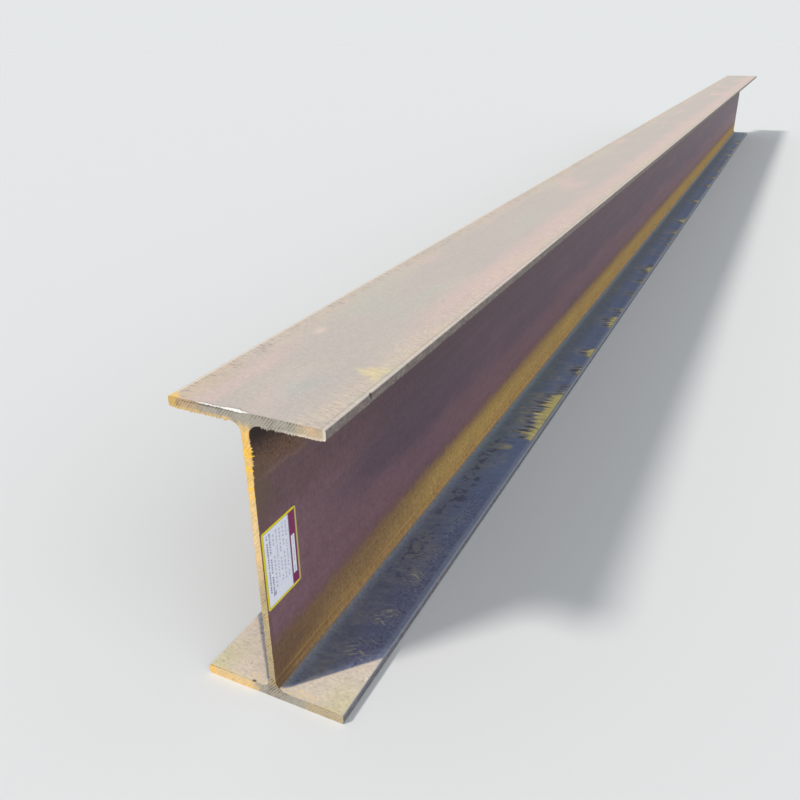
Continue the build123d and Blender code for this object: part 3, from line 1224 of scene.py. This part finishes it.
def web_end(f, height, on_web, blot, wide):
    """The web's end, from the top: grey at the root, then gold with deeper pools, then cream.

    A pool is given by its lowest and highest point, its softness and its strength.
    """
    web_tone = f.blend(f.rise(f.z + 24 * wide, 170, 215), (190, 170, 130), pale_gold)
    web_tone = f.blend(f.rise(f.z + 12 * wide, 262, 322), web_tone, gold)
    f.coat(on_web * f.rise(f.z, low_flange_top + 1, low_flange_top + 13), web_tone)
    for low, high, soft, strength in gold_pools:
        pool = f.between(f.z + 2 * blot, low, high, soft) * strength
        f.coat(pool * on_web * (0.85 + 0.3 * blot), deep_gold, rough=0.6)
    left_root = f.hump(f.x + 0.55 * (height + 15), -9, 8) * f.between(height, -35, -1, 10)
    f.coat(left_root * 0.75, root_orange)
    spots = f.hump(f.x, 3, 4) * (f.hump(f.z, 128, 8) + f.hump(f.z, 25, 7))
    f.coat(spots * 0.7, (238, 184, 84))
    f.coat(on_web * f.fall(f.z, 30, 90) * 0.25, (150, 132, 108))


def grimy_foot(f, fine, blot, streaks):
    """Grime and yellow dust over the lower half of the cut."""
    grime = f.rise(blot + 0.6 * streaks, 0.1, 0.9) * f.fall(f.z, 150, 240)
    f.coat(grime * 0.5, (150, 138, 120))
    dusting = f.rise(fine + 0.5 * blot, 0.3, 0.9) * f.fall(f.z, 180, 300)
    f.coat(dusting * 0.45, (228, 200, 128))


def low_end(f, blot, wide):
    """The lower flange's end: cream and gold at the left, grey under the web, then cream."""
    along = f.grain((26, 3, 1.5), 58, detail=3, rough=0.7)
    left = f.fall(f.x + 5 * wide, -34, -16)
    f.coat(left, f.shade((224, 194, 142), 1.0 + 0.14 * along))
    f.coat(left * f.rise(along + 0.5 * blot, 0.1, 0.9) * 0.5, (240, 196, 110))
    f.coat(left * f.fall(f.z + 1.5 * blot, 2.0, 4.5) * 0.6, (238, 186, 98))
    f.coat(f.fall(f.x + 3 * blot, -93, -86) * 0.8, (244, 192, 96))
    f.coat(f.rise(f.x + 8 * wide, 36, 62) * 0.8, f.shade(steel_cream, 1.0 + 0.1 * along))


# %% [markdown]
# ## The blade's marks
#
# The marks are a soft darkening at each step of the blade, on the same lean and pitch that
# grooved the mesh. They show best in the middle of the top flange's end and fade elsewhere. Over
# them come fine streaks along the blade, bright specks, and what stands along the edges.

# %% Lay the blade's marks and make the finish of the cut
streak_squeeze = 0.06


def grooves(f, blot):
    """The blade's grooves, 0 to 1: a hump at the middle of each step of the feed."""
    wander = f.grain((60, 60, 60), 51, detail=2)
    count = groove_phase(f.x, f.z) + 0.35 * wander + 0.16 * blot
    depth = f.specks((9, 5, 7), 67, -0.6, 0.5)
    return f.hump(count.math("FRACT", count), 0.5, 0.5) * (0.35 + 0.9 * depth)


def cut_rims(f, on_flange, groove, fine, blot):
    """What stands along the cut's edges: notches, a crack, the torn lip with its painted shadow and
    painted highlight, and bright rims.
    """
    over_top = f.z - section_depth
    notch = f.rise(over_top + 0.8 * blot, -4.4, -1) * f.rise(groove, 0.55, 0.95)
    f.coat(notch * f.between(f.x, -86, 92, 10) * 0.55, (112, 101, 88))
    crack = f.hump(over_top + 0.6 * fine, -2.8, 1.1) * f.between(f.x + 5 * blot, -86, -26, 12)
    f.coat(crack * 0.6, (98, 86, 76))
    lip_reach = 0.9 * f.hump(f.x, -12, 22) + 1.1 * f.grain((5, 40, 5), 70, detail=2)
    lip_level = over_top + 0.7 * fine + lip_reach
    lip_run = f.between(f.x + 6 * blot, -60, 5, 14)
    # The torn lip on the cut: a painted shadow under it and a painted highlight on it.
    f.coat(f.hump(lip_level, -1.7, 0.8) * lip_run * 0.6, (96, 86, 76))
    f.coat(f.rise(lip_level, -1.3, -0.4) * lip_run * 0.95, (252, 249, 242), rough=0.35)
    toe_rim = f.rise(f.x + 0.5 * blot, toe - 4.6, toe - 2.4) * on_flange
    f.coat(toe_rim * 0.5, (232, 226, 214))
    rim = f.hump(f.side, web_face, 0.8) * f.between(f.z, 30, 372, 4) * f.rise(blot, -0.5, 0.4)
    f.coat(rim * 0.5, (226, 172, 84))


def sawn_steel():
    """The finish of both sawn ends, with the blade's marks laid over all three parts."""
    f = Finish("sawn_steel", steel_grey, 0.5, 0.15)
    fine = f.grain((2.0, 3, 2.0), 52, detail=3, rough=0.72)
    blot = f.grain((8, 8, 12), 53, detail=3)
    wide = f.grain((30, 30, 30), 54, detail=2)
    across_cut = (f.x - groove_lean * f.z) * MM
    along_cut = f.z * (streak_squeeze * MM)
    in_cut = f.node("ShaderNodeCombineXYZ", inputs={0: across_cut, 1: along_cut})
    lines = f.grain((1.3, 0.9, 0.9), 55, detail=2, place=in_cut)
    streaks = f.grain((2.6, 1.0, 1.0), 56, detail=2, place=in_cut)
    height = f.z - top_flange_under
    on_flange = f.rise(height, -15, -1)
    on_web = f.fall(f.side, 6, 14) * f.fall(height + 6 * blot, -11, 3)
    low = f.fall(f.z, low_flange_top + 1, low_flange_top + 7)

    f.region = on_flange
    top_end(f, height, blot, wide)
    f.region = None
    web_end(f, height, on_web, blot, wide)
    grimy_foot(f, fine, blot, streaks)
    f.region = low
    low_end(f, blot, wide)
    f.region = None

    groove = grooves(f, blot)
    at_root = f.fall(f.side + 3 * wide, 22, 34) * f.fall(f.z, 26, 44)
    marked = 0.3 + 0.7 * f.between(f.x + 6 * wide, 8, 66, 14) * on_flange + 0.6 * at_root
    marked = marked + 0.6 * on_web * f.fall(f.z + 20 * wide, 130, 250)
    faint = 0.4 * f.fall(f.x, -20, 0) * on_flange + 0.35 * low * f.rise(f.x, 20, 50)
    tone = 1.05 - 0.36 * (marked + faint) * groove * (1 + 0.8 * blot)
    tone = tone + 0.09 * lines + 0.12 * streaks + 0.2 * fine + 0.06 * blot
    scored_web = f.fall(f.side, 4, 8) * f.grain((6, 6, 1.2), 57, detail=2)
    f.skin = f.shade(f.skin, tone + 0.12 * scored_web)
    f.coat(f.rise(fine - 0.4 * blot, 0.45, 0.95) * 0.4, (240, 228, 204), rough=0.42)
    cut_rims(f, on_flange, groove, fine, blot)
    f.relief = -0.07 * marked * groove + 0.02 * lines + 0.04 * fine
    f.rough = f.rough + 0.06 * fine
    return f.done()


rolled_beam.data.materials.append(sawn_steel())
saw_burr.data.materials.append(rolled_beam.data.materials[SAWN])

# %% [markdown]
# ## The label's card
#
# The label is printed paper under clear film, with its long side upright. Its frame is yellow,
# and a plum strip with a blank field runs down its right side. The fields hold plain rules and
# soft blank bars, whose lengths come from a noise with a value for each step down the column.

# %% Finish the label
paper_white = (231, 231, 242)
frame_yellow = (232, 215, 0)
frame_pale = (186, 168, 112)
plum = (128, 42, 88)
rule_grey = (150, 154, 176)
rule_dark = (74, 74, 96)
bar_grey = (88, 92, 118)
card_width = label_high[1] - label_low[1]
card_height = label_high[2] - label_low[2]
card_border = 3.4
soft_edge = 0.35
crisp_edge = 0.3
plum_strip = (54.0, 66.6)
blank_field = (56.0, 63.2, 36.5, 92.0)
square_field = (12.6, 18.2, 90.0, 96.0)
print_top, print_bottom = 7.4, 88.6
print_columns = (9.0, 14.5, 21.0, 27.5, 34.0, 40.5, 47.0)
bold_columns, bold_pitch = 2, 3.6
plain_pitches = (4.4, 5.2, 6.0)
rule_from, rule_to = 2.9, 3.2
cross_rules = (24.0, 58.0, 84.0)
cross_rule_half = 0.15
bar_half_width = 1.2
field_column, field_pitch, field_seed = 59.6, 2.9, 9


def soft_bars(f, u, v, column, pitch, seed):
    """Blank bars down one column: a cell every pitch, each filled up to its own seeded length."""
    cell = v / pitch
    step = cell.math("FLOOR", cell)
    pick = f.node("ShaderNodeCombineXYZ", inputs={0: step, 1: float(seed)})
    chance = f.node("ShaderNodeTexWhiteNoise", {"noise_dimensions": "3D"}, {0: pick})
    filled = f.fall(cell - step, 0.35 + 0.4 * chance, 0.45 + 0.4 * chance)
    across = f.between(u, column - bar_half_width, column + bar_half_width, crisp_edge)
    return across * filled * f.rise(chance, 0.12, 0.2)


def on_card(f, u, v, left, right, top, bottom, soft):
    """1 inside a rectangle of the card."""
    return f.between(u, left, right, soft) * f.between(v, top, bottom, soft)


def framed(f, u, v, border, soft):
    """1 inside the card's border."""
    return on_card(f, u, v, border, card_width - border, border, card_height - border, soft)


def label_card():
    """The card's finish. u runs across it and v down it, in millimetres from its top left."""
    f = Finish("label_card", frame_yellow, 0.46, 0.0)
    u = f.y - (label_low[1] - near_cut)
    v = label_high[2] - f.z
    f.coat(f.rise(u, 64, 67) * 0.8, frame_pale)
    f.coat(framed(f, u, v, card_border - 0.5, crisp_edge) * 0.75, (96, 88, 92))
    f.region = framed(f, u, v, card_border, soft_edge)
    f.coat(1, paper_white)
    printed = f.between(v, print_top, print_bottom, 0.4)
    for number, place in enumerate(print_columns):
        bold = number < bold_columns
        pitch = bold_pitch if bold else plain_pitches[number % 3]
        bars = soft_bars(f, u, v, place, pitch, number)
        f.coat(bars * printed * (0.9 if bold else 0.45), bar_grey)
        f.coat(f.between(u, place + rule_from, place + rule_to, 0.25) * 0.45, rule_grey)
    for place in cross_rules:
        rule = f.between(v, place - cross_rule_half, place + cross_rule_half, crisp_edge)
        f.coat(rule * 0.4, rule_grey)
    f.coat(on_card(f, u, v, *square_field, crisp_edge) * 0.6, bar_grey)
    f.coat(f.between(u, plum_strip[0] - 1.3, plum_strip[0], soft_edge) * 0.8, rule_dark)
    f.coat(f.between(u, *plum_strip, soft_edge), plum)
    blank = on_card(f, u, v, *blank_field, soft_edge)
    f.coat(blank, paper_white)
    f.coat(soft_bars(f, u, v, field_column, field_pitch, field_seed) * blank * 0.45, bar_grey)
    f.region = None
    crumple = f.grain((14, 14, 14), 61, detail=3)
    dust = f.grain((2.2, 2.2, 2.2), 62, detail=3, rough=0.7)
    f.skin = f.shade(f.skin, 1.0 + 0.02 * crumple + 0.03 * dust)
    f.relief = 0.05 * crumple + 0.005 * dust
    f.rough = f.rough + 0.05 * dust
    return f.done()


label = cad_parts["label"]
label.data.materials.clear()
label.data.materials.append(label_card())

# %% [markdown]
# ## The studio
#
# The photograph's sun stood to the front left, so the end and the top are bright and the right
# side of the web is in shade. One broad lamp takes its place, with soft edges to its shadow.
# A second, weaker and wider, stands behind the camera's right shoulder and opens the shade.
# The floor and everything round it are plain and pale.

# %% Light the studio
floor_size = 60.0
floor_drop = 0.0003
floor_colour = (220.6, 220.6, 219.2)
backdrop_colour = (228.9, 231.5, 232.1)
sky_strength = 0.5
key_colour = (255, 252.2, 248.2)
key_from = (-0.62, -0.78, 1.0)
key_strength, key_softness = 2.25, 8
fill_colour = (241.0, 248.2, 255)
fill_from = (0.8, -0.35, 0.55)
fill_strength, fill_softness = 0.9, 50


def pale_floor():
    """A wide flat square, just below the beam so that the two faces don't lie in one plane."""
    half = floor_size / 2
    corners = np.array([(-half, -half), (half, -half), (half, half), (-half, half)])
    vertices = np.column_stack([corners, np.full(4, -floor_drop)])
    floor = new_piece("floor", vertices, [[0, 1, 2, 3]])
    floor.data.materials.append(Finish("pale_floor", floor_colour, 0.9, 0.0).done(specular=0.1))
    return floor


def surrounding():
    """The world: an even fill on everything, and a plain pale backdrop where it is looked at."""
    world = bpy.data.worlds.new("surrounding")
    bpy.context.scene.world = world
    sky = Graph(world)
    fill = sky.node("ShaderNodeBackground", inputs={"Color": fill_colour, "Strength": sky_strength})
    seen = sky.node("ShaderNodeBackground", inputs={"Color": backdrop_colour})
    direct = sky.node("ShaderNodeLightPath", output="Is Camera Ray")
    mirrored = sky.node("ShaderNodeLightPath", output="Is Glossy Ray")
    looked_at = direct.math("MAXIMUM", direct, mirrored)
    either = sky.node("ShaderNodeMixShader", inputs={0: looked_at, 1: fill, 2: seen})
    sky.node("ShaderNodeOutputWorld", inputs={0: either})


def lamp(name, shines_from, strength, softness, tint):
    """A lamp so far off that it lights the length evenly. Softness is its width in degrees."""
    light = bpy.data.lights.new(name, "SUN")
    light.energy = strength
    light.color = as_light(tint)
    light.angle = math.radians(softness)
    made = bpy.data.objects.new(name, light)
    made.rotation_euler = Vector(shines_from).to_track_quat("Z", "Y").to_euler()
    bpy.context.scene.collection.objects.link(made)


floor = pale_floor()
surrounding()
lamp("key_lamp", key_from, key_strength, key_softness, key_colour)
lamp("fill_lamp", fill_from, fill_strength, fill_softness, fill_colour)
bpy.context.scene.view_settings.view_transform = "Standard"
print("studio lamps", [light.name for light in bpy.data.lights])

# %% [markdown]
# ## Fastening the pieces
#
# The beam's mesh and its burr ride on the beam's body, so they go where it goes, and the mesh
# takes the place of the measured solid. The floor belongs to the studio and isn't handed on.

# %% Fasten the pieces to the measured beam
for piece in (rolled_beam, saw_burr):
    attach(piece, "root")
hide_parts("beam")
